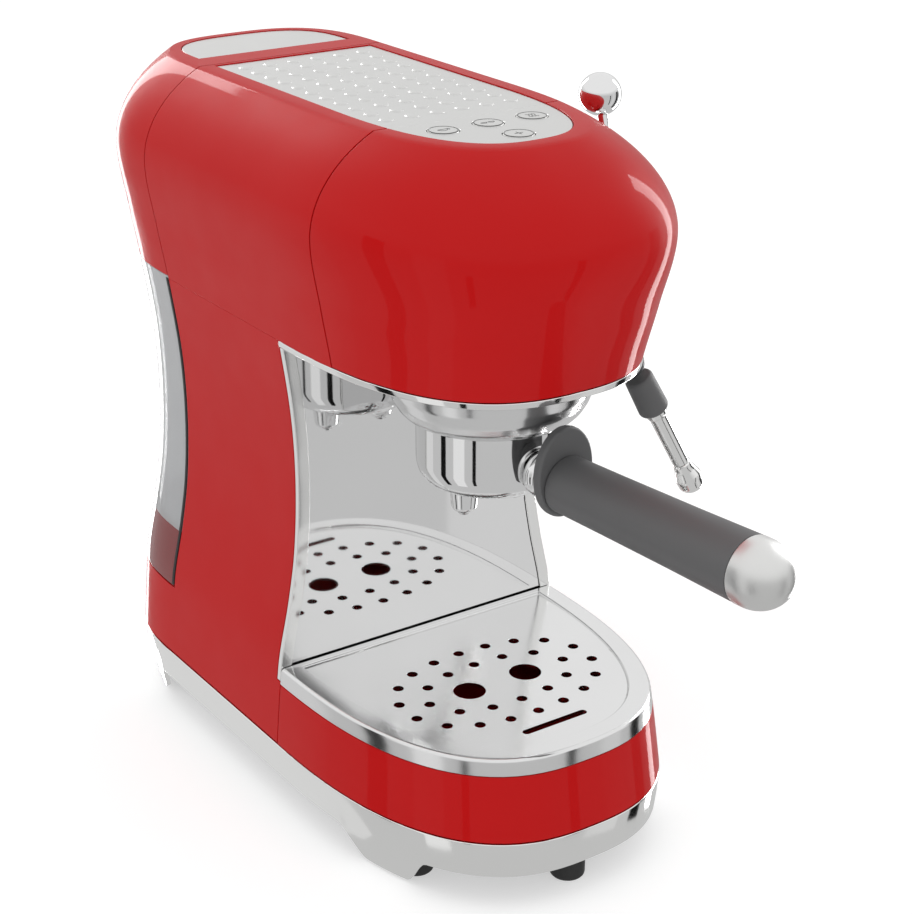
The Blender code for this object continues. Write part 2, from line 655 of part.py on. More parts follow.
def make_portafilter():
    cup = [(0, CUP_LOW_Z), (23, CUP_LOW_Z), (28, 173), (31.2, 176.2), (CUP_R, 181), (CUP_R, 204.2),
           (33.6, 206), (33.6, 211.4), (30.0, 211.4), (30.0, 184), (25, 180.5), (0, 180.5)]
    handle_piece("portafilter_cup", place(turned(cup, 32), (0, GROUP_Y, 0)), "chrome")
    basket = [(0, 186), (27, 186), (29.4, 188), (29.4, 211.7), (32.4, 211.7), (32.4, 213.1), (28.5, 213.1),
              (28.5, 189), (26.4, 187), (0, 187)]
    handle_piece("filter_basket", place(turned(basket, 24), (0, GROUP_Y, 0)), "satin_steel")
    for side, name in ((-1, "spout_left"), (1, "spout_right")):
        spout = [(0, -12), (1.6, -13), (2.6, -13), (3.2, -11.2), (5.2, -10.6), (5.6, -9.6), (6.2, 0), (0, 0)]
        at = (side * 14.5, GROUP_Y, CUP_LOW_Z - GAP)
        handle_piece(name, place(turned(spout, 16), at), "chrome")
    neck = [(0, CUP_R + GAP), (9.6, CUP_R + GAP), (10.4, CUP_R + 1.5), (10.4, CUP_R + 4), (9.2, CUP_R + 5.5),
            (9.2, GRIP_START - 4.9), (0, GRIP_START - 4.9)]
    handle_piece("handle_neck", along_handle(neck), "chrome")
    ring = [(15.4 * math.sin(a), 20.2 * math.cos(a)) for a in [math.pi * i / 12 for i in range(24)]]
    flange = prism(ring, GRIP_START - 4.5, GRIP_START)
    bmesh.ops.bevel(flange, geom=[e for e in flange.edges if len(e.link_faces) == 2 and
                                  e.calc_face_angle() > 1.0], offset=1.2, segments=1, affect="EDGES")
    bmesh.ops.rotate(flange, verts=flange.verts, cent=(0, 0, 0), matrix=Matrix.Rotation(math.pi / 2, 3, "X"))
    bmesh.ops.translate(flange, verts=flange.verts, vec=(0, GROUP_Y, HANDLE_Z + 5))
    handle_piece("handle_flange", flange, "grey_grip")
    start = GRIP_START + GAP
    grip = [(0, start), (12.6, start), (12.9, start + 30), (14.3, GRIP_END), (0, GRIP_END)]
    handle_piece("handle_grip", along_handle(grip, 24), "grey_grip")
    reach = DOME_END - GRIP_END - 4
    turns = [math.pi / 2 * i / 6 for i in range(7)]
    dome = [(0, GRIP_END + GAP), (14.3, GRIP_END + GAP), (14.4, GRIP_END + 4)]
    dome += [(14.4 * math.cos(a), GRIP_END + 4 + reach * math.sin(a)) for a in turns[1:]]
    handle_piece("handle_cap", along_handle(dome, 24), "satin_steel")


# ---------------------------------------------------------------- steam

def make_steam():
    hub = Vector(LEVER_HUB)
    profile = [(0, -7.4), (10.5, -7.4), (10.5, 2.5), (9, 4), (0, 4)]
    new_object("steam_hub", place(turned(profile, 20), LEVER_HUB, (1, 0, 0)), "chrome", origin=LEVER_HUB)
    arm = Vector(LEVER_BALL) - hub
    along = arm.normalized()
    stem = turned([(0, 11.2), (2.6, 11.2), (2.6, arm.length - BALL_R - 0.1), (0, arm.length - BALL_R - 0.1)], 12)
    new_object("steam_lever", place(stem, LEVER_HUB, along), "chrome", origin=LEVER_HUB)
    ball = bmesh.new()
    bmesh.ops.create_uvsphere(ball, u_segments=20, v_segments=12, radius=BALL_R)
    new_object("steam_knob", place(ball, LEVER_BALL), "chrome", origin=LEVER_HUB)
    valve = [(0, 0), (9, 0), (9, -22), (0, -22)]
    new_object("steam_valve", place(turned(valve, 16), (68.0, hub.y, hub.z), (1, 0, 0)), "aluminium")

    pivot = Vector(WAND_PIVOT)
    wand = Vector(WAND_TIP) - pivot
    way = wand.normalized()
    length = wand.length
    joint = [(0, -5.6), (4.0, -4.6), (5.6, -2.4), (5.6, 2.0), (4.6, 4.6), (4.6, 6.4), (0, 6.4)]
    new_object("wand_pivot", place(turned(joint, 16), pivot), "dark_plastic", origin=WAND_PIVOT)
    grip_start, grip_end = 7.6, 27.0
    grip = [(0, grip_start), (6.4, grip_start), (7.4, grip_start + 1), (7.9, grip_end - 1), (7.2, grip_end), (0, grip_end)]
    new_object("wand_grip", place(turned(grip, 16), pivot, way), "grey_grip", origin=WAND_PIVOT)
    tube_end = length - 17.0
    tube = [(0, grip_end + GAP), (3.7, grip_end + GAP), (3.7, tube_end), (0, tube_end)]
    new_object("wand_tube", place(turned(tube, 16), pivot, way), "polished_steel", origin=WAND_PIVOT)
    tip = [(0, tube_end + GAP), (4.2, tube_end + GAP), (4.4, tube_end + 4), (6.2, tube_end + 9),
           (6.0, length - 3), (4.2, length - 0.8), (0, length)]
    new_object("wand_tip", place(turned(tip, 16), pivot, way), "satin_steel", origin=WAND_PIVOT)


# ---------------------------------------------------------------- inside

def make_inside():
    pump = [(0, 92), (7, 92), (7, 104), (19, 104), (19, 150), (11, 152), (11, 170), (5, 172), (5, 182), (0, 182)]
    new_object("pump", place(turned(pump, 20), (0, PUMP_Y, 0)), "dark_plastic")
    mount = [(19.6, 118), (27, 118), (27, 126), (19.6, 126)]
    new_object("pump_mount", place(turned(mount, 20, closed=True), (0, PUMP_Y, 0)), "black_rubber")
    new_object("control_board", block((-46, 40, 60), (-44, 100, 200)), "circuit_green", smooth=False)
    suction = [(0, TANK_VALVE_Y, 63.5), (0, 129, 56), (0, 122, 47), (0, 104, 44), (0, 74, 46),
               (0, PUMP_Y + 2, 60), (0, PUMP_Y, 91.2)]
    new_object("suction_hose", hose(suction, 4.0), "silicone")
    pressure = [(0, PUMP_Y, 182.6), (0, 50, 205), (2, 34, 230), (2, 4, 260), (0, -16.2, 266)]
    new_object("pressure_hose", hose(pressure, 3.0), "silicone")
    hub_y, hub_z = LEVER_HUB[1:]
    steam = [(45.0, hub_y, hub_z), (41, hub_y, hub_z), (38, -34, 296), (26, -48, 302),
             (10, GROUP_Y, 303), (0, GROUP_Y, 296)]
    new_object("steam_pipe", hose(steam, 2.5), "aluminium")
    gland = [(0, 0.6), (8.5, 0.6), (8.5, 2.2), (5.6, 3.2), (5.0, 6.0), (0, 6.0)]
    rear_y = REAR_SEAM_Y + rear_reach(52.0) * 0.985
    new_object("power_inlet", place(turned(gland, 16), (30, rear_y, 52), (0, 1, 0)), "black_rubber")


def shift_to_base_centre():
    """Put the origin under the middle of the box round the whole machine."""
    bpy.context.view_layer.update()
    corners = []
    for obj in bpy.context.collection.objects:
        if obj.type == "MESH" and not obj.hide_render:
            corners += [obj.matrix_world @ v.co for v in obj.data.vertices]
    middle_x = (min(c.x for c in corners) + max(c.x for c in corners)) / 2
    middle_y = (min(c.y for c in corners) + max(c.y for c in corners)) / 2
    for obj in bpy.context.collection.objects:
        obj.location -= Vector((middle_x, middle_y, 0))
    print(f"shift_m {middle_x:.6f} {middle_y:.6f}")


def main():
    clear_scene()
    make_base()
    make_body_shell()
    make_front_shell()
    make_tank()
    make_bulkheads()
    make_back_panel()
    make_head_trims()
    make_top_plates()
    make_drip_tray()
    make_group()
    make_portafilter()
    make_steam()
    make_inside()
    shift_to_base_centre()


main()
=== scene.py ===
"""Finished look of the compact pump espresso machine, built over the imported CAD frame.

Lengths are millimetres about the foot of the back panel, as in part.py; to_row() turns them
into the row frame's metres. Every piece rides the CAD body whose node it stands for.
"""

import math

import bmesh
import bpy
from mathutils import Matrix, Vector


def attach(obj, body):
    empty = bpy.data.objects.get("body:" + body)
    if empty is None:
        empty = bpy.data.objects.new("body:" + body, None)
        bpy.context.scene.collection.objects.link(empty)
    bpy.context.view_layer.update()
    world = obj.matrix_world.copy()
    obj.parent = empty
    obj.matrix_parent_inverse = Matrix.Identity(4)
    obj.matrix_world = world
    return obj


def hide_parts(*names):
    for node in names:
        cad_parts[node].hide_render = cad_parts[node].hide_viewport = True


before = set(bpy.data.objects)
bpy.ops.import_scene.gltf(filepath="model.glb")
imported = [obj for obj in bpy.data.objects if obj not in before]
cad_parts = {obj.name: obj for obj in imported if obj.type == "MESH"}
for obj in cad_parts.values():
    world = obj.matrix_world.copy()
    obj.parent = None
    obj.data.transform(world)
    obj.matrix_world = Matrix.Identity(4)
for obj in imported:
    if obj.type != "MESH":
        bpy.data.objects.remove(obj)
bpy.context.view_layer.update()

MM = 0.001
SHIFT = Vector((8.450, -23.721, 0.0))    # part.py's shift to the middle of the base
GAP = 0.3

SKIRT_LOW_Z = 17.0
SKIRT_TOP_Z = 34.5
BAND_TOP_Z = 65.5
DECK_Z = 73.4
HEAD_Z = 231.5
WIDEST_Z = 288.0
TOP_Z = 329.0

FRONT_SEAM_Y = -40.0
REAR_SEAM_Y = 106.5
WIDTHS = ((34.5, 80.8), (66.0, 77.8), (80.0, 75.9), (104.0, 70.6), (130.0, 66.4), (163.0, 64.6),
          (195.0, 65.8), (231.5, 70.6), (258.0, 75.0), (288.0, 79.2), (318.0, 75.0))
WIDEST = 79.2
SHOULDER_SIDE = 52.0
SHOULDER_FRONT = 57.9
SHOULDER_REAR = 77.0
NOSE_RATIO = 1.70
NOSE_POWER = 2.6
REAR_REACH = 72.0
REAR_TAPER = 0.33         # how far the rear comes in for each millimetre the sides do
REAR_POWER = 3.0

WALL = 2.5
TRIM_DEPTH = 2.4
TRIM_WIDTH = 6.0
PLATE_HALF = 41.6
PLATE_NOSE = 88.0
PLATE_REAR_Y = 104.2
CONTROL_Y = -40.5
LID_FRONT_Y = 122.5
LID_REACH = 40.0
TANK_LOW_Z = 71.0
TANK_TOP_Z = 232.5
TANK_WALL = 2.2
# height below which the tank wall is painted deep red, standing in for the shaded sill seen
# through it
SILL_LINE_Z = 99.0

PAD_FLOOR = 1.8           # height of the skirt's feet above the counter
SKIRT_INSET = 6.0
TRAY_END_Y = -0.9
COLUMN_LOW_Y = -0.6       # front edge of the sill's sides, behind the tray
SIDE_STEPS = 12
COVER_WALL = 1.5
COVER_EDGE = ((7.6, 0.0), (4.5, 0.0), (1.6, 0.0), (0.8, 0.25), (0.25, 0.8), (0.0, 1.7),
              (0.0, 9.0), (0.35, 9.6), (0.9, 10.0), (1.2, 10.8))    # drop below the deck, inset

GROUP_Y = -57.0
HANDLE_TURN = math.radians(5.0)
CUP_R = 32.5
CUP_LOW_Z = 171.5
SPOUT_X = 14.5
HANDLE_Z = 185.0
GRIP_START = 49.5
GRIP_END = 154.0
DOME_END = 174.0
DOME_R = 14.4
LEVER_HUB = (88.0, -24.0, 291.0)
LEVER_BALL = (88.0, -15.8, 321.9)
BALL_R = 9.7
WAND_PIVOT = (55.0, -84.5, 221.3)
WAND_TIP = (91.6, -88.0, 154.4)
NOZZLE_LENGTH = 17.0

BUTTON_SPACING = 22.2
BUTTON_ROW_Y = -54.0
BUTTON_FRONT_Y = -75.4
BUTTON_R = 6.6
DOT_COLUMNS, DOT_ROWS = 6, 11
DOT_PITCH_X, DOT_PITCH_Y = 12.6, 12.0
DOT_FIRST_Y = -26.0
DRIP_CENTRE_Y = -64.1
DRAIN_R = 2.5
LARGE_DRAIN_R = 7.4
LARGE_DRAIN_X = 15.5
SLOT_Y = -107.7
SLOT_HALF = 17.2
SLOT_END_R = 1.9
FOOT_SPOTS = {"foot_front_left": (-54, -78), "foot_front_right": (54, -78), "foot_nose": (0, -119),
              "foot_rear_left": (-54, 145), "foot_rear_right": (54, 145)}

NOSE_STEPS = 72
REAR_STEPS = 56

TINT_SCALE = 14.0         # noise that varies the colour
PATCH_SCALE = 38.0        # noise that varies the roughness
PATCH_DETAIL = 5.0

CAMERA_AT = (-469.18, -720.74, 527.68)
CAMERA_TURN = -34.234
CAMERA_RISE = 23.116
CAMERA_LENS = 79.6
SENSOR_WIDTH = 36.0


# ---------------------------------------------------------------- materials

def shader_of(name, color, roughness, metallic=0.0):
    """New material with a plain Principled shader; returns it, its node tree and the shader."""
    mat = bpy.data.materials.new(name)
    mat.use_nodes = True
    tree = mat.node_tree
    shader = tree.nodes["Principled BSDF"]
    shader.inputs["Base Color"].default_value = (*color, 1.0)
    shader.inputs["Roughness"].default_value = roughness
    shader.inputs["Metallic"].default_value = metallic
    return mat, tree, shader


def noise(tree, scale, detail=3.0, stretch=(1, 1, 1)):
    """Noise over the object's own coordinates, optionally stretched along an axis."""
    where = tree.nodes.new("ShaderNodeTexCoord")
    mapping = tree.nodes.new("ShaderNodeMapping")
    mapping.inputs["Scale"].default_value = stretch
    tree.links.new(where.outputs["Object"], mapping.inputs["Vector"])
    node = tree.nodes.new("ShaderNodeTexNoise")
    node.inputs["Scale"].default_value = scale
    node.inputs["Detail"].default_value = detail
    tree.links.new(mapping.outputs["Vector"], node.inputs["Vector"])
    return node.outputs["Fac"]


def vary(tree, shader, socket, fac, low, high):
    """Drive a number socket between two values with a noise factor."""
    spread = tree.nodes.new("ShaderNodeMapRange")
    spread.inputs["From Min"].default_value = 0.3
    spread.inputs["From Max"].default_value = 0.7
    spread.inputs["To Min"].default_value = low
    spread.inputs["To Max"].default_value = high
    tree.links.new(fac, spread.inputs["Value"])
    tree.links.new(spread.outputs["Result"], shader.inputs[socket])


def tint(tree, shader, fac, dark, light):
    """Drive the base colour between two colours with a noise factor."""
    ramp = tree.nodes.new("ShaderNodeValToRGB")
    ramp.color_ramp.elements[0].position = 0.3
    ramp.color_ramp.elements[0].color = (*dark, 1.0)
    ramp.color_ramp.elements[1].position = 0.7
    ramp.color_ramp.elements[1].color = (*light, 1.0)
    tree.links.new(fac, ramp.inputs["Fac"])
    tree.links.new(ramp.outputs["Color"], shader.inputs["Base Color"])


def bump(tree, shader, fac, strength, distance=0.0002):
    node = tree.nodes.new("ShaderNodeBump")
    node.inputs["Strength"].default_value = strength
    node.inputs["Distance"].default_value = distance
    tree.links.new(fac, node.inputs["Height"])
    tree.links.new(node.outputs["Normal"], shader.inputs["Normal"])


def shade(color, factor):
    return tuple(c * factor for c in color)


def surface(name, color, roughness, metallic=0.0, spread=0.25, grain=900.0, strength=0.05,
            stretch=(1, 1, 1)):
    """Material with noise in its colour, its roughness and its fine relief."""
    mat, tree, shader = shader_of(name, color, roughness, metallic)
    tint(tree, shader, noise(tree, TINT_SCALE), shade(color, 0.985), shade(color, 1.01))
    vary(tree, shader, "Roughness", noise(tree, PATCH_SCALE, PATCH_DETAIL),
         roughness * (1 - spread), roughness * (1 + spread))
    bump(tree, shader, noise(tree, grain, 2.0, stretch), strength)
    return mat


def paint(name, color):
    """Glossy enamel: a coloured base with a faint orange peel under a clear coat."""
    mat = surface(name, color, 0.45, spread=0.12, grain=300.0, strength=0.002)
    shader = mat.node_tree.nodes["Principled BSDF"]
    shader.inputs["Coat Weight"].default_value = 0.22
    shader.inputs["Coat Roughness"].default_value = 0.05
    shader.inputs["Specular IOR Level"].default_value = 0.05
    return mat


def clear_plastic(name):
    """Clear tank wall with a painted see-through view: greyish above the sill's line, and painted
    deep red below it, standing in for the shaded sill showing through.
    """
    mat, tree, shader = shader_of(name, (0.5, 0.5, 0.5), 0.08)
    where = tree.nodes.new("ShaderNodeTexCoord")
    split = tree.nodes.new("ShaderNodeSeparateXYZ")
    tree.links.new(where.outputs["Object"], split.inputs["Vector"])
    painted_sill_view = tree.nodes.new("ShaderNodeMapRange")
    painted_sill_view.inputs["From Min"].default_value = SILL_LINE_Z * MM
    painted_sill_view.inputs["From Max"].default_value = (SILL_LINE_Z + 0.8) * MM
    tree.links.new(split.outputs["Z"], painted_sill_view.inputs["Value"])
    # painted see-through shade: the deep red stands in for the shaded red sill behind the wall,
    # the grey for what shows through above it
    tint(tree, shader, painted_sill_view.outputs["Result"], (0.17, 0.006, 0.006), (0.50, 0.51, 0.52))
    # nearly opaque where the painted sill view is, clearer above it
    vary(tree, shader, "Alpha", painted_sill_view.outputs["Result"], 0.94, 0.62)
    vary(tree, shader, "Roughness", noise(tree, PATCH_SCALE, PATCH_DETAIL), 0.05, 0.10)
    bump(tree, shader, noise(tree, 160.0, 2.0), 0.004)
    shader.inputs["Coat Weight"].default_value = 0.15
    shader.inputs["Coat Roughness"].default_value = 0.02
    return mat


RED = (0.47, 0.0040, 0.0045)
MATERIALS = {
    "red": paint("red_enamel", RED),
    "steel": surface("polished_steel", (0.88, 0.88, 0.87), 0.09, 1.0, 0.3, 160.0, 0.003),
    "mirror": surface("mirror_steel", (0.86, 0.86, 0.86), 0.035, 1.0, 0.25, 90.0, 0.001),
    "cover": surface("tray_cover_steel", (0.80, 0.80, 0.80), 0.16, 1.0, 0.20, 200.0, 0.004),
    "satin": surface("satin_steel", (0.66, 0.66, 0.65), 0.34, 1.0, 0.15, 700.0, 0.05,
                     (1, 10, 1)),
    "plate": surface("cup_plate_steel", (0.70, 0.70, 0.69), 0.40, 1.0, 0.10, 800.0, 0.04,
                     (1, 8, 1)),
    "dome": surface("satin_dome", (0.78, 0.78, 0.77), 0.36, 1.0, 0.12, 500.0, 0.03),
    "chrome": surface("chrome", (0.84, 0.84, 0.84), 0.05, 1.0, 0.3, 120.0, 0.001),
    "brushed": surface("brushed_collar", (0.80, 0.80, 0.80), 0.17, 1.0, 0.2, 260.0, 0.006,
                       (1, 1, 6)),
    "grip": surface("soft_touch_grey", (0.098, 0.098, 0.100), 0.50, 0.0, 0.10, 2600.0, 0.10),
    "rubber": surface("black_rubber", (0.018, 0.018, 0.018), 0.65, 0.0, 0.12, 1800.0, 0.12),
    "dark": surface("dark_plastic", (0.035, 0.035, 0.037), 0.45, 0.0, 0.15, 1500.0, 0.08),
    "grey": surface("grey_plastic", (0.40, 0.41, 0.42), 0.42, 0.0, 0.12, 1200.0, 0.08),
    "ink": surface("icon_ink", (0.10, 0.10, 0.10), 0.40, 0.0, 0.10, 1500.0, 0.04),
    "tank": clear_plastic("clear_tank"),
    "cast": surface("cast_aluminium", (0.56, 0.56, 0.57), 0.42, 1.0, 0.20, 900.0, 0.15),
    "hose": surface("milky_silicone", (0.66, 0.67, 0.66), 0.45, 0.0, 0.12, 900.0, 0.05),
    "board": surface("circuit_green", (0.020, 0.150, 0.055), 0.40, 0.0, 0.20, 260.0, 0.30),
}


# ---------------------------------------------------------------- body lines

def spline(knots, t):
    """Smooth curve through (t, value) knots."""
    last = len(knots) - 1
    i = 0
    while i < last - 1 and t > knots[i + 1][0]:
        i += 1
    (t0, v0), (t1, v1) = knots[i], knots[i + 1]
    before = knots[max(i - 1, 0)]
    after = knots[min(i + 2, last)]
    slope0 = (v1 - before[1]) / (t1 - before[0])
    slope1 = (after[1] - v0) / (after[0] - t0)
    span = t1 - t0
    s = (t - t0) / span
    start = (2 * s**3 - 3 * s**2 + 1) * v0 + (s**3 - 2 * s**2 + s) * span * slope0
    end = (3 * s**2 - 2 * s**3) * v1 + (s**3 - s**2) * span * slope1
    return start + end


def shoulder(z, height):
    return math.sqrt(1.0 - ((z - WIDEST_Z) / height) ** 2)


def half_width(z):
    if z > WIDEST_Z:
        return WIDEST * shoulder(z, SHOULDER_SIDE)
    return spline(WIDTHS, max(z, SKIRT_TOP_Z))


def front_reach(z):
    if z > WIDEST_Z:
        return NOSE_RATIO * WIDEST * shoulder(z, SHOULDER_FRONT)
    return NOSE_RATIO * half_width(z)


def rear_reach(z):
    if z > WIDEST_Z:
        return rear_reach(WIDEST_Z) * shoulder(z, SHOULDER_REAR)
    return REAR_REACH - REAR_TAPER * (WIDTHS[0][1] - half_width(z))


def round_end(half, reach, power, start, steps, start_y=0.0):
    """Superellipse round +Y, from +X to -X, beginning at height start above its own axis."""
    start_x = half * (1.0 - (start / reach) ** power) ** (1.0 / power)
    first = math.atan2(start, start_x)
    points = []
    for i in range(steps + 1):
        turn = first + (math.pi - 2 * first) * i / steps
        c, s = math.cos(turn), math.sin(turn)
        r = (abs(c / half) ** power + abs(s / reach) ** power) ** (-1.0 / power)
        points.append((r * c, start_y + r * s))
    return points


def front_arc(half, reach, start_y=0.0, steps=NOSE_STEPS):
    return [(-x, -y) for x, y in round_end(half, reach, NOSE_POWER, -start_y, steps)]


def rear_arc(half, reach, start_y, steps=REAR_STEPS):
    return round_end(half, reach, REAR_POWER, 0.0, steps, start_y)


def side_x(half, reach, y):
    return half * (1.0 - (max(0.0, -y) / reach) ** NOSE_POWER) ** (1.0 / NOSE_POWER)


def nose_plan(z, end_y, inset=0.0):
    half = half_width(z) - inset
    reach = front_reach(z) - inset
    if end_y < 0:
        return front_arc(half, reach, end_y)
    return [(-half, end_y)] + front_arc(half, reach) + [(half, end_y)]


def levels(low, high, count):
    return [low + (high - low) * i / count for i in range(count + 1)]


def shoulder_levels(count):
    end = math.asin((TOP_Z - WIDEST_Z) / SHOULDER_SIDE)
    return [WIDEST_Z + SHOULDER_SIDE * math.sin(end * i / count) for i in range(1, count + 1)]


# ---------------------------------------------------------------- mesh makers

def grid(rows, closed=False, keep=None):
    """Faces between rows of points; keep(row, column) leaves a face out where it is false."""
    bm = bmesh.new()
    made = [[bm.verts.new(p) for p in row] for row in rows]
    columns = len(rows[0]) if closed else len(rows[0]) - 1
    for i in range(len(rows) - 1):
        low, high = made[i], made[i + 1]
        for j in range(columns):
            if keep is None or keep(i, j):
                k = (j + 1) % len(low)
                bm.faces.new((low[j], low[k], high[k], high[j]))
    bmesh.ops.remove_doubles(bm, verts=bm.verts, dist=0.005)
    loose = [v for v in bm.verts if not v.link_faces]
    bmesh.ops.delete(bm, geom=loose, context="VERTS")
    return bm


def close(bm, test=lambda edge: True):
    """Fill the boundary loops whose edges pass the test, and face everything outward."""
    edges = [e for e in bm.edges if e.is_boundary and test(e)]
    bmesh.ops.holes_fill(bm, edges=edges, sides=0)
    bmesh.ops.recalc_face_normals(bm, faces=bm.faces)
    return bm


def prism(outline, low, high):
    bm = bmesh.new()
    face = bm.faces.new([bm.verts.new((x, y, low)) for x, y in outline])
    made = bmesh.ops.extrude_face_region(bm, geom=[face])
    top = [v for v in made["geom"] if isinstance(v, bmesh.types.BMVert)]
    bmesh.ops.translate(bm, verts=top, vec=(0, 0, high - low))
    bmesh.ops.recalc_face_normals(bm, faces=bm.faces)
    return bm


def turned(profile, segments=96, closed=False):
    """Surface turned about Z from (radius, height) points."""
    bm = bmesh.new()
    verts = [bm.verts.new((r, 0.0, h)) for r, h in profile]
    edges = [bm.edges.new(pair) for pair in zip(verts, verts[1:])]
    if closed:
        edges.append(bm.edges.new((verts[-1], verts[0])))
    bmesh.ops.spin(bm, geom=verts + edges, axis=(0, 0, 1), cent=(0, 0, 0),
                   angle=2 * math.pi, steps=segments, use_merge=True)
    bmesh.ops.remove_doubles(bm, verts=bm.verts, dist=0.001)
    bmesh.ops.recalc_face_normals(bm, faces=bm.faces)
    return bm


def place(bm, at, direction=(0, 0, 1)):
    turn = Vector((0, 0, 1)).rotation_difference(Vector(direction)).to_matrix().to_4x4()
    bmesh.ops.transform(bm, matrix=Matrix.Translation(at) @ turn, verts=bm.verts)
    return bm


def merge(parts):
    """One bmesh holding several."""
    whole = bmesh.new()
    for part in parts:
        mesh = bpy.data.meshes.new("part")
        part.to_mesh(mesh)
        part.free()
        whole.from_mesh(mesh)
        bpy.data.meshes.remove(mesh)
    return whole


def to_row(bm):
    bmesh.ops.translate(bm, verts=bm.verts, vec=-SHIFT)
    bmesh.ops.scale(bm, verts=bm.verts, vec=(MM, MM, MM))
    return bm


def object_of(name, bm):
    mesh = bpy.data.meshes.new(name)
    to_row(bm).to_mesh(mesh)
    bm.free()
    obj = bpy.data.objects.new(name, mesh)
    bpy.context.collection.objects.link(obj)
    return obj


def settle(obj, angle=30):
    """Make the modifiers' result the object's own mesh, with smooth faces and sharp corners."""
    bpy.context.view_layer.update()
    graph = bpy.context.evaluated_depsgraph_get()
    mesh = bpy.data.meshes.new_from_object(obj.evaluated_get(graph))
    obj.modifiers.clear()
    obj.data = mesh
    mesh.shade_smooth()
    mesh.set_sharp_from_angle(angle=math.radians(angle))


def piece(name, bm, look, body, nodes, wall=0.0, bevel=0.0, cutter=None, angle=30):
    """Finished piece from a bmesh in millimetres, riding a body and standing for CAD nodes."""
    obj = object_of(name, bm)
    if wall:
        mod = obj.modifiers.new("wall", "SOLIDIFY")
        mod.thickness = wall * MM
        mod.offset = -1.0
        mod.use_even_offset = True
    if cutter:
        mod = obj.modifiers.new("cut", "BOOLEAN")
        mod.operation = "DIFFERENCE"
        mod.solver = "EXACT"
        mod.object = cutter
    if bevel:
        mod = obj.modifiers.new("edges", "BEVEL")
        mod.width = bevel * MM
        mod.segments = 3
        mod.limit_method = "ANGLE"
        mod.angle_limit = math.radians(38)
    settle(obj, angle)
    if cutter:
        bpy.data.objects.remove(cutter, do_unlink=True)
    mod = obj.modifiers.new("flat faces", "WEIGHTED_NORMAL")
    mod.keep_sharp = True
    obj.data.materials.clear()
    obj.data.materials.append(MATERIALS[look])
    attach(obj, body)
    if nodes:
        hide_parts(*nodes)
    return obj


# ---------------------------------------------------------------- base and tray

def foot_drop(x, y):
    """How far the skirt reaches down to the counter there, from 0 to 1."""
    def ramp(value, start, end):
        s = min(max((value - start) / (end - start), 0.0), 1.0)
        return s * s * (3 - 2 * s)
    front = ramp(y, -48.0, -68.0) * ramp(y, -101.0, -92.0)
    rear = ramp(y, 122.0, 133.0) * ramp(abs(x), 34.0, 44.0)
    return max(front, rear)


def base_plan(inset=0.0):
    half = half_width(SKIRT_TOP_Z) - inset
    front = front_arc(half, front_reach(SKIRT_TOP_Z) - inset, steps=240)
    rear = rear_arc(half, REAR_REACH - inset, REAR_SEAM_Y, steps=200)
    return front + [(half, 50.0)] + rear + [(-half, 50.0)]


def make_base():
    foot_height = SKIRT_LOW_Z - PAD_FLOOR
    rows = []
    for share in (0.0, 0.25, 0.5, 0.75, 1.0):
        row = []
        for (x, y), (inner_x, inner_y) in zip(base_plan(), base_plan(SKIRT_INSET)):
            drop = foot_drop(x, y)
            low = SKIRT_LOW_Z - foot_height * drop
            lean = (0.25 + 0.75 * drop) * (1 - share) ** 1.4
            z = low + (SKIRT_TOP_Z - low) * share
            row.append((x + (inner_x - x) * lean, y + (inner_y - y) * lean, z))
        rows.append(row)
    piece("skirt", grid(rows, closed=True), "steel", "housing", ["base_skirt"], wall=WALL,
          bevel=0.5)
    pad_top = SKIRT_LOW_Z + 1.0 - GAP
    for name, (x, y) in FOOT_SPOTS.items():
        profile = [(0, 0), (6.4, 0), (7.2, 0.3), (7.8, 1.0), (8, 1.8), (8, pad_top), (0, pad_top)]
        piece(name + "_pad", place(turned(profile, 48), (x, y, 0)), "rubber", "housing", [name])


def make_tray():
    heights = levels(SKIRT_TOP_Z + 0.6, BAND_TOP_Z, 8)
    bm = grid([[(x, y, z) for x, y in nose_plan(z, TRAY_END_Y)] for z in heights], closed=True)
    close(bm, lambda e: e.verts[0].co.z < heights[0] + 1)
    piece("tray_band", bm, "red", "drip_tray", ["drip_tray"], wall=WALL, bevel=0.5)

    rim = []
    for drop, inset in COVER_EDGE:
        z = DECK_Z - drop
        rear_y = TRAY_END_Y - max(0.0, inset - 1.7) * 0.35
        rim.append([(x, min(y, rear_y), z) for x, y in nose_plan(z, TRAY_END_Y, inset)])
    bm = close(grid(rim, closed=True), lambda e: e.verts[0].co.z > DECK_Z - 2)
    piece("tray_cover", bm, "cover", "drip_cover", ["drip_cover"], wall=COVER_WALL,
          cutter=drip_cutter(), bevel=0.35)

    outline = [(-17, -7), (17, -7), (17, 7), (-17, 7)]
    body = prism([(x, SLOT_Y + y) for x, y in outline], 46, 63.5)
    piece("float", body, "red", "tray_float", ["tray_float"], bevel=1.5)


def drip_hole_spots():
    spots = []
    for side in (-1, 1):
        spots += [(side * 48.6, -7.2), (side * 48.6, 7.2), (side * 37.1, 0.0)]
        for x, y in ((41.0, 19.8), (28.6, 27.2), (14.5, 30.6), (29.6, 12.8), (15.2, 17.8)):
            spots += [(side * x, y), (side * x, -y)]
    for y in (31.5, 18.9):
        spots += [(0.0, y), (0.0, -y)]
    return [(x, y + DRIP_CENTRE_Y) for x, y in spots]


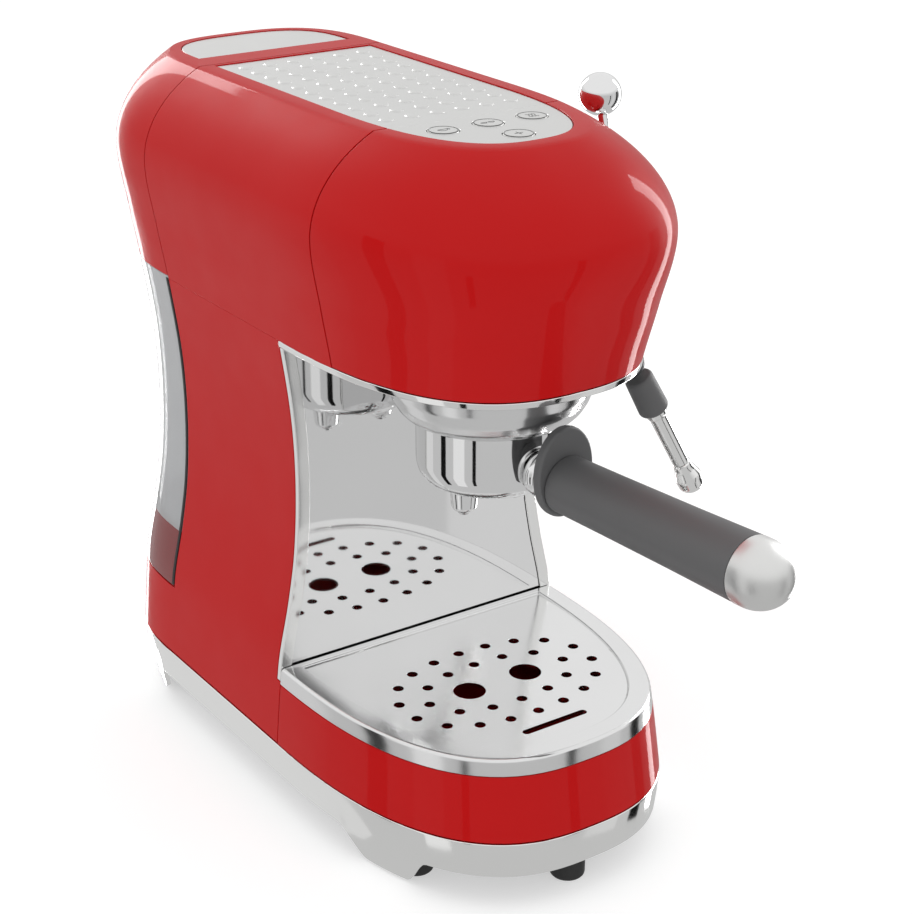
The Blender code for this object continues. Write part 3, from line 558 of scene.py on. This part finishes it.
def drip_cutter():
    """Round drain holes and the float's slot."""
    holes = [(x, y, DRAIN_R) for x, y in drip_hole_spots()]
    holes += [(x, DRIP_CENTRE_Y, LARGE_DRAIN_R) for x in (-LARGE_DRAIN_X, LARGE_DRAIN_X)]
    parts = []
    for x, y, r in holes:
        profile = [(0, -6), (r, -6), (r, 6), (0, 6)]
        parts.append(place(turned(profile, 32 if r == DRAIN_R else 64), (x, y, DECK_Z)))
    ends = [(SLOT_HALF - SLOT_END_R + SLOT_END_R * math.cos(a), SLOT_END_R * math.sin(a))
            for a in levels(-math.pi / 2, math.pi / 2, 10)]
    slot = ends + [(-x, -y) for x, y in ends]
    parts.append(prism([(x, SLOT_Y + y) for x, y in slot], DECK_Z - 6, DECK_Z + 6))
    cutter = object_of("drip_cutter", merge(parts))
    cutter.hide_render = True
    return cutter


# ---------------------------------------------------------------- painted shells

def column_edge_y(z):
    return COLUMN_LOW_Y if z < BAND_TOP_Z + 1.4 else TRIM_DEPTH + GAP


def make_column():
    """Painted sides of the column and the sill behind the tray."""
    heights = levels(SKIRT_TOP_Z + 4 * GAP, BAND_TOP_Z + 1.3, 8)
    heights += [BAND_TOP_Z + 1.6, TANK_LOW_Z - 2 * GAP]
    sill_row = len(heights) - 1
    heights += levels(DECK_Z, HEAD_Z, 44)
    rows = []
    for z in heights:
        half = half_width(z)
        ys = levels(column_edge_y(z), REAR_SEAM_Y, SIDE_STEPS)
        side = [(side_x(half, front_reach(z), y), y) for y in ys]
        plan = side + rear_arc(half, rear_reach(z), REAR_SEAM_Y)[1:-1]
        plan += [(-x, y) for x, y in reversed(side)]
        rows.append([(x, y, z) for x, y in plan])
    columns = len(rows[0]) - 1

    def keep(i, j):
        return min(j, columns - 1 - j) < SIDE_STEPS or i < sill_row

    piece("column", grid(rows, keep=keep), "red", "housing", ["body_shell"], wall=WALL, bevel=0.2)


def make_head_middle():
    """Painted middle of the head, from the front seam to the tank."""
    heights = levels(HEAD_Z, WIDEST_Z, 20) + shoulder_levels(24)
    last = len(heights) - 1
    ys = levels(FRONT_SEAM_Y + GAP, 0.0, 10)
    ys += levels(0.0, PLATE_REAR_Y + GAP, 12)[1:] + [REAR_SEAM_Y]
    lip = [side_x(PLATE_HALF + GAP, PLATE_NOSE + GAP, y) for y in ys]
    for side, name in ((1, "head_right"), (-1, "head_left")):
        rows = [[(side * side_x(half_width(z), front_reach(z), y), y, z) for y in ys]
                for z in heights]
        rows.append([(side * x, y, TOP_Z) for x, y in zip(lip, ys)])
        rows.append([(0.0, y, TOP_Z) for y in ys])
        strip = len(ys) - 2
        bm = grid(rows, keep=lambda i, j: i <= last or j == strip)
        if side < 0:
            bmesh.ops.reverse_faces(bm, faces=bm.faces)
        piece(name, bm, "red", "housing", ["body_shell"], wall=WALL, bevel=0.2)


def make_head_front():
    heights = levels(HEAD_Z + GAP, WIDEST_Z, 22) + shoulder_levels(26)
    rows = [[(x, y, z) for x, y in nose_plan(z, FRONT_SEAM_Y - GAP)] for z in heights]
    lip = front_arc(PLATE_HALF + GAP, PLATE_NOSE + GAP, FRONT_SEAM_Y - GAP)
    rows.append([(x, y, TOP_Z) for x, y in lip])
    piece("head_front", grid(rows), "red", "housing", ["head_front_shell"], wall=WALL, bevel=0.3)


def tank_plan(z, inset=0.0):
    return rear_arc(half_width(z) - inset, rear_reach(z) - inset - 0.5, REAR_SEAM_Y + 0.5)


def make_tank():
    heights = levels(TANK_LOW_Z, TANK_TOP_Z, 40)
    bm = grid([[(x, y, z) for x, y in tank_plan(z)] for z in heights], closed=True)
    close(bm, lambda e: e.verts[0].co.z < TANK_LOW_Z + 1)
    piece("tank_body", bm, "tank", "water_tank", ["water_tank"], wall=TANK_WALL, bevel=0.6)

    heights = levels(TANK_TOP_Z + 0.4, WIDEST_Z, 20) + shoulder_levels(24)
    rows = [[(x, y, z) for x, y in tank_plan(z)] for z in heights]
    rim = rear_arc(PLATE_HALF - 0.6, LID_REACH + 0.6, LID_FRONT_Y - 0.6)
    rows.append([(x, y, TOP_Z) for x, y in rim])
    piece("tank_top", grid(rows, closed=True), "red", "water_tank", ["tank_cap"], wall=WALL,
          bevel=0.3)

    lid = rear_arc(PLATE_HALF - 1.2, LID_REACH, LID_FRONT_Y)
    piece("lid", prism(lid, TOP_Z - 2.2, TOP_Z - 0.4), "plate", "tank_lid", ["tank_lid"],
          bevel=0.35)

    seal = []
    for z in levels(TANK_LOW_Z + 1.0, TANK_TOP_Z - 1.0, 40):
        half = half_width(z)
        corners = [(half - 1.6, REAR_SEAM_Y + 0.6), (half + 0.25, REAR_SEAM_Y + 0.6),
                   (half + 0.25, REAR_SEAM_Y + 2.4), (half - 1.6, REAR_SEAM_Y + 2.4)]
        seal.append([(x, y, z) for x, y in corners])
    for side, name in ((1, "tank_seal_right"), (-1, "tank_seal_left")):
        bm = close(grid([[(side * x, y, z) for x, y, z in row] for row in seal], closed=True))
        piece(name, bm, "rubber", "water_tank", [])


# ---------------------------------------------------------------- trims and panels

def panel_heights():
    return levels(BAND_TOP_Z + 1.6, HEAD_Z - 3.4, 48)


def make_panels():
    right = [(half_width(z) - TRIM_WIDTH - GAP, 0.3, z) for z in panel_heights()]
    sheet = grid([right, [(-x, y, z) for x, y, z in right]])
    piece("mirror_panel", sheet, "mirror", "housing", ["back_panel"], wall=1.2)
    for side, name in ((-1, "panel_trim_left"), (1, "panel_trim_right")):
        rows = []
        for z in panel_heights():
            outer, inner = half_width(z), half_width(z) - TRIM_WIDTH
            corners = [(inner, -0.5), (outer - 0.1, -0.5),
                       (outer - 0.1, TRIM_DEPTH), (inner, TRIM_DEPTH)]
            rows.append([(side * x, y, z) for x, y in corners])
        strip = close(grid(rows, closed=True))
        piece(name + "_strip", strip, "steel", "housing", [name], bevel=0.4)

    outer = nose_plan(HEAD_Z, TRIM_DEPTH)
    inner = nose_plan(HEAD_Z, TRIM_DEPTH, 3.6)
    trim = prism(outer + list(reversed(inner)), HEAD_Z - 2.9, HEAD_Z - 0.1)
    piece("head_edge", trim, "steel", "housing", ["head_trim"], bevel=0.5)


# ---------------------------------------------------------------- top

def make_top():
    top = TOP_Z - 0.5
    rest = TOP_Z - 2.4
    sides = [(side_x(PLATE_HALF, PLATE_NOSE, y), y) for y in levels(CONTROL_Y + GAP, 0.0, 12)]
    outline = [(-x, y) for x, y in reversed(sides)] + sides
    outline += [(PLATE_HALF, PLATE_REAR_Y), (-PLATE_HALF, PLATE_REAR_Y)]
    piece("plate", prism(outline, rest, top), "plate", "housing", ["cup_plate"], bevel=0.3)
    dot = [(0, 0.50), (2.2, 0.48), (2.7, 0.38), (3.1, 0.10), (3.4, -0.2), (0, -0.2)]
    dots = []
    for row in range(DOT_ROWS):
        for column in range(DOT_COLUMNS):
            x = (column - (DOT_COLUMNS - 1) / 2) * DOT_PITCH_X
            y = DOT_FIRST_Y + row * DOT_PITCH_Y
            dots.append(place(turned(dot, 24), (x, y, top)))
    piece("plate_dots", merge(dots), "plate", "housing", [])

    panel = prism(front_arc(PLATE_HALF, PLATE_NOSE, CONTROL_Y), rest, top)
    spots = {"button_one_cup": (-BUTTON_SPACING, BUTTON_ROW_Y),
             "button_two_cups": (0, BUTTON_ROW_Y),
             "button_steam": (BUTTON_SPACING, BUTTON_ROW_Y),
             "button_program": (0, BUTTON_FRONT_Y)}
    holes = []
    for x, y in spots.values():
        profile = [(0, -10), (BUTTON_R + GAP, -10), (BUTTON_R + GAP, 10), (0, 10)]
        holes.append(place(turned(profile, 64), (x, y, TOP_Z)))
    cutter = object_of("button_cutter", merge(holes))
    cutter.hide_render = True
    piece("controls", panel, "plate", "housing", ["control_panel"], cutter=cutter, bevel=0.25)
    for name, (x, y) in spots.items():
        r = BUTTON_R
        profile = [(0, -4.5), (r, -4.5), (r, -0.9), (r - 0.2, -0.5), (r - 0.6, -0.3),
                   (r - 1.2, -0.25), (0, -0.25)]
        piece(name + "_cap", place(turned(profile, 64), (x, y, TOP_Z)), "plate", name, [name])
        icon = icon_strokes(name)
        parts = [stroke([(x + a, y + b) for a, b in line]) for line in icon]
        piece(name + "_icon", merge(parts), "ink", name, [])


def circle(cx, cy, r, start=0.0, end=360.0, steps=24):
    turns = [math.radians(a) for a in levels(start, end, steps)]
    return [(cx + r * math.cos(turn), cy + r * math.sin(turn)) for turn in turns]


def icon_strokes(name):
    """Plain line symbols: a cup, two cups, steam, and a plus."""
    ring = [circle(0, 0, BUTTON_R - 0.55, steps=48)]
    if name == "button_one_cup":
        bowl = circle(0, 0.8, 2.2, 180, 360) + [(-2.2, 0.8)]
        return ring + [bowl, circle(2.3, 0.2, 0.8, -90, 90)]
    if name == "button_two_cups":
        return ring + [circle(x, 0.8, 1.4, 180, 360) + [(x - 1.4, 0.8)] for x in (-1.8, 1.8)]
    if name == "button_steam":
        wave = [(0.5 * math.sin(t), t * 0.6) for t in levels(-4.0, 4.0, 16)]
        return ring + [[(x + shift, y) for x, y in wave] for shift in (-1.5, 0.0, 1.5)]
    return ring + [[(-2.0, 0.0), (2.0, 0.0)], [(0.0, -2.0), (0.0, 2.0)]]


def stroke(line, width=0.42):
    """Flat ribbon along a plan line, just proud of the buttons."""
    low, high = TOP_Z - 0.35, TOP_Z - 0.19
    left, right = [], []
    for i, point in enumerate(line):
        before, after = line[max(i - 1, 0)], line[min(i + 1, len(line) - 1)]
        dx, dy = after[0] - before[0], after[1] - before[1]
        length = math.hypot(dx, dy) or 1.0
        nx, ny = -dy / length * width / 2, dx / length * width / 2
        left.append((point[0] + nx, point[1] + ny))
        right.append((point[0] - nx, point[1] - ny))
    rows = []
    for (lx, ly), (rx, ry) in zip(left, right):
        rows.append([(lx, ly, low), (rx, ry, low), (rx, ry, high), (lx, ly, high)])
    return close(grid(rows, closed=True))


# ---------------------------------------------------------------- group and portafilter

def round_profile(points, radius=0.8, steps=4):
    """Profile with its inner corners rounded."""
    out = [points[0]]
    for before, corner, after in zip(points, points[1:], points[2:]):
        a, b, c = Vector(before), Vector(corner), Vector(after)
        reach = min(radius, (a - b).length * 0.45, (c - b).length * 0.45)
        start = b + (a - b).normalized() * reach
        end = b + (c - b).normalized() * reach
        for i in range(steps + 1):
            t = i / steps
            out.append(tuple(start * (1 - t) ** 2 + b * 2 * t * (1 - t) + end * t**2))
    out.append(points[-1])
    return out


def make_collar():
    top = HEAD_Z - 3.2
    outer = [(45.6, top), (45.5, 222), (44.6, 216), (43.0, 211), (40.4, 206.6), (38.0, 204.2),
             (36.2, 203.0)]
    inner = [(35.2, 203.8), (35.2, 214.0), (39.0, 218), (41.5, top)]
    bm = place(turned(round_profile(outer + inner, 1.0), 128, closed=True), (0, GROUP_Y, 0))
    piece("collar", bm, "brushed", "housing", ["brew_collar"], angle=50)


def turn_handle(bm):
    spin = Matrix.Rotation(HANDLE_TURN, 4, "Z")
    at = Matrix.Translation((0, GROUP_Y, 0))
    bmesh.ops.transform(bm, matrix=at @ spin @ at.inverted(), verts=bm.verts)
    return bm


def handle_piece(name, bm, look, nodes, bevel=0.0):
    return piece(name, turn_handle(bm), look, "portafilter", nodes, bevel=bevel)


def along_handle(profile, segments=96):
    return place(turned(profile, segments), (0, GROUP_Y, HANDLE_Z), (0, -1, 0))


def make_portafilter():
    cup = [(0, CUP_LOW_Z), (23, CUP_LOW_Z), (28, 173), (31.2, 176.2), (CUP_R, 181), (CUP_R, 204.2),
           (33.6, 206), (33.6, 211.4), (30.0, 211.4), (30.0, 184), (25, 180.5), (0, 180.5)]
    bowl = place(turned(round_profile(cup, 2.0), 128), (0, GROUP_Y, 0))
    handle_piece("cup", bowl, "chrome", ["portafilter_cup"])
    for side, name in ((-1, "spout_left"), (1, "spout_right")):
        spout = [(0, -12), (1.6, -13), (2.6, -13), (3.4, -11.4), (5.2, -10.6), (5.8, -9.4),
                 (6.3, -4), (6.3, 0), (0, 0)]
        at = (side * SPOUT_X, GROUP_Y, CUP_LOW_Z - GAP)
        tube = place(turned(round_profile(spout, 0.7), 48), at)
        handle_piece(name + "_tube", tube, "chrome", [name])
    start = CUP_R + GAP
    neck = [(0, start), (9.6, start), (10.4, start + 1.5), (10.4, start + 4), (9.2, start + 5.5),
            (9.2, GRIP_START - 4.9), (0, GRIP_START - 4.9)]
    handle_piece("neck", along_handle(round_profile(neck, 0.8)), "chrome", ["handle_neck"])
    ring = [(15.4 * math.sin(a), 20.2 * math.cos(a)) for a in levels(0, 2 * math.pi, 96)[:-1]]
    flange = prism(ring, GRIP_START - 4.5, GRIP_START)
    bmesh.ops.rotate(flange, verts=flange.verts, cent=(0, 0, 0),
                     matrix=Matrix.Rotation(math.pi / 2, 3, "X"))
    bmesh.ops.translate(flange, verts=flange.verts, vec=(0, GROUP_Y, HANDLE_Z + 5))
    handle_piece("flange", flange, "grip", ["handle_flange"], bevel=1.4)
    start = GRIP_START + GAP
    grip = [(0, start), (12.6, start), (12.7, start + 12), (12.9, start + 30), (13.5, start + 70),
            (14.3, GRIP_END), (0, GRIP_END)]
    handle_piece("grip", along_handle(round_profile(grip, 0.6)), "grip", ["handle_grip"])
    reach = DOME_END - GRIP_END - 4
    dome = [(0, GRIP_END + GAP), (14.2, GRIP_END + GAP), (DOME_R, GRIP_END + 0.7),
            (DOME_R, GRIP_END + 4)]
    dome += [(DOME_R * math.cos(a), GRIP_END + 4 + reach * math.sin(a))
             for a in levels(0, math.pi / 2, 24)[1:]]
    handle_piece("dome", along_handle(dome), "dome", ["handle_cap"])


# ---------------------------------------------------------------- steam

def make_steam():
    hub = [(0, -7.4), (10.5, -7.4), (10.5, 2.5), (9, 4), (0, 4)]
    disc = place(turned(round_profile(hub, 1.0)), LEVER_HUB, (1, 0, 0))
    piece("hub", disc, "chrome", "steam_lever", ["steam_hub"])
    arm = Vector(LEVER_BALL) - Vector(LEVER_HUB)
    stem_end = arm.length - BALL_R + 1
    stem = [(0, 9.0), (3.4, 9.0), (2.5, 12.5), (2.3, 16), (2.5, stem_end), (0, stem_end)]
    rod = place(turned(stem, 48), LEVER_HUB, arm.normalized())
    piece("stem", rod, "chrome", "steam_lever", ["steam_lever"])
    ball = bmesh.new()
    bmesh.ops.create_uvsphere(ball, u_segments=96, v_segments=64, radius=BALL_R)
    piece("knob", place(ball, LEVER_BALL), "chrome", "steam_lever", ["steam_knob"])

    way = Vector(WAND_TIP) - Vector(WAND_PIVOT)
    length = way.length
    way.normalize()
    joint = [(0, -5.6), (4.0, -4.6), (5.6, -2.4), (5.8, 0), (5.6, 2.0), (4.6, 4.6), (4.6, 6.4),
             (0, 6.4)]
    socket = place(turned(round_profile(joint, 1.2), 64), WAND_PIVOT)
    piece("wand_ball", socket, "dark", "steam_wand", ["wand_pivot"])
    grip = [(0, 7.6), (5.6, 7.6), (6.4, 8.8), (6.9, 26.0), (6.4, 27.0), (0, 27.0)]
    sleeve = place(turned(round_profile(grip, 0.8), 64), WAND_PIVOT, way)
    piece("wand_sleeve", sleeve, "grip", "steam_wand", ["wand_grip"])
    end = length - NOZZLE_LENGTH
    tube = [(0, 27.3), (4.7, 27.3), (4.7, 30.0), (4.0, 31.0), (3.8, end), (0, end)]
    pipe = place(turned(tube, 64), WAND_PIVOT, way)
    piece("wand_pipe", pipe, "steel", "steam_wand", ["wand_tube"])
    tip = [(0, end + GAP), (4.2, end + GAP), (4.4, end + 4), (6.2, end + 9), (6.0, length - 3),
           (4.2, length - 0.8), (0, length)]
    nozzle = place(turned(round_profile(tip, 1.2), 64), WAND_PIVOT, way)
    piece("wand_nozzle", nozzle, "steel", "steam_wand", ["wand_tip"])


# ---------------------------------------------------------------- carried-over CAD nodes

KEPT = {
    "red": ("rear_sill",),
    "satin": ("head_underside", "shower_screen", "filter_basket"),
    "rubber": ("group_gasket", "pump_mount", "power_inlet"),
    "dark": ("bottom_cover", "tank_seat", "tank_valve", "chassis_plate", "pump"),
    "grey": ("base_deck", "rear_bulkhead"),
    "cast": ("group_head", "boiler", "steam_valve", "steam_pipe"),
    "hose": ("suction_hose", "pressure_hose"),
    "board": ("control_board",),
}


def finish_kept():
    for look, names in KEPT.items():
        for name in names:
            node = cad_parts[name]
            node.data.materials.clear()
            node.data.materials.append(MATERIALS[look])


# ---------------------------------------------------------------- studio

def stage_plane(name, size, at, turn, color, glow=0.0):
    """Flat stage sheet. glow adds an even light of its own."""
    bm = bmesh.new()
    bmesh.ops.create_grid(bm, x_segments=1, y_segments=1, size=0.5)
    bmesh.ops.scale(bm, verts=bm.verts, vec=(size[0], size[1], 1))
    mesh = bpy.data.meshes.new(name)
    bm.to_mesh(mesh)
    bm.free()
    obj = bpy.data.objects.new(name, mesh)
    bpy.context.collection.objects.link(obj)
    obj.location = at
    obj.rotation_euler = [math.radians(a) for a in turn]
    mat, _tree, shader = shader_of(name + "_sheet", color, 0.9)
    shader.inputs["Specular IOR Level"].default_value = 0.0
    shader.inputs["Emission Color"].default_value = (1, 1, 1, 1)
    shader.inputs["Emission Strength"].default_value = glow
    mesh.materials.append(mat)
    return obj


def reflected_card(name, azimuth, distance, width, height, low, color, glow=0.0):
    """Standing card round the machine that shows only in reflections."""
    a = math.radians(azimuth)
    at = (distance * math.sin(a), -distance * math.cos(a), low + height / 2)
    card = stage_plane(name, (width, height), at, (90, 0, azimuth), color, glow)
    card.visible_camera = False
    card.visible_diffuse = False
    card.visible_shadow = False
    return card


def area_light(name, at, size, watts, target=(0, 0, 0.17)):
    data = bpy.data.lights.new(name, "AREA")
    data.shape = "RECTANGLE"
    data.size, data.size_y = size
    data.energy = watts
    obj = bpy.data.objects.new(name, data)
    bpy.context.collection.objects.link(obj)
    obj.location = at
    obj.rotation_euler = (Vector(at) - Vector(target)).to_track_quat("Z", "Y").to_euler()
    obj.visible_glossy = False
    return obj


def make_world():
    """White above the horizon and grey below it."""
    world = bpy.data.worlds.new("studio")
    world.use_nodes = True
    tree = world.node_tree
    where = tree.nodes.new("ShaderNodeTexCoord")
    split = tree.nodes.new("ShaderNodeSeparateXYZ")
    ramp = tree.nodes.new("ShaderNodeValToRGB")
    ramp.color_ramp.elements[0].position = 0.0
    ramp.color_ramp.elements[0].color = (0.58, 0.58, 0.58, 1.0)
    ramp.color_ramp.elements[1].position = 0.30
    ramp.color_ramp.elements[1].color = (0.92, 0.92, 0.92, 1.0)
    tree.links.new(where.outputs["Generated"], split.inputs["Vector"])
    tree.links.new(split.outputs["Z"], ramp.inputs["Fac"])
    tree.links.new(ramp.outputs["Color"], tree.nodes["Background"].inputs["Color"])
    bpy.context.scene.world = world


def make_studio():
    floor = stage_plane("floor", (40, 40), (0, 0, 0), (0, 0, 0), (0.62, 0.62, 0.62), 0.50)
    floor.visible_glossy = False
    black = (0.01, 0.01, 0.01)
    reflected_card("bright_left", -152, 1.2, 0.9, 1.6, -1.3, black, 0.72)
    reflected_card("dark_left", -108, 0.80, 0.13, 1.0, -0.6, black)
    reflected_card("bright_side", -82, 1.1, 0.35, 1.3, -0.9, black, 0.85)
    reflected_card("dark_middle", -58, 1.1, 0.10, 0.7, -0.7, black)
    reflected_card("dark_front", 23, 1.10, 0.09, 1.0, -0.7, black)
    reflected_card("bright_front", 42, 1.2, 0.30, 1.3, -0.9, black, 0.68)
    reflected_card("dark_right", 66, 0.85, 0.20, 1.0, -0.6, black)
    reflected_card("strip_right", 94, 1.3, 0.26, 2.0, -0.9, black, 11.0)
    reflected_card("strip_rear", 178, 1.4, 0.26, 2.0, -0.9, black, 10.0)
    area_light("top", (-0.3, -0.2, 1.8), (1.4, 1.4), 5.0)
    make_world()
    bpy.context.scene.view_settings.view_transform = "Standard"


def make_camera():
    """Long lens, from the machine's front left and above, at about the photograph's view."""
    data = bpy.data.cameras.new("camera")
    data.sensor_width = SENSOR_WIDTH
    data.lens = CAMERA_LENS
    data.clip_end = 50.0
    camera = bpy.data.objects.new("camera", data)
    bpy.context.collection.objects.link(camera)
    camera.location = (Vector(CAMERA_AT) - SHIFT) * MM
    around, above = math.radians(CAMERA_TURN), math.radians(CAMERA_RISE)
    level = math.cos(above)
    back = Vector((math.sin(around) * level, -math.cos(around) * level, math.sin(above)))
    camera.rotation_euler = back.to_track_quat("Z", "Y").to_euler()
    bpy.context.scene.camera = camera


make_base()
make_tray()
make_column()
make_head_middle()
make_head_front()
make_tank()
make_panels()
make_top()
make_collar()
make_portafilter()
make_steam()
finish_kept()
make_studio()
make_camera()

bpy.context.view_layer.update()
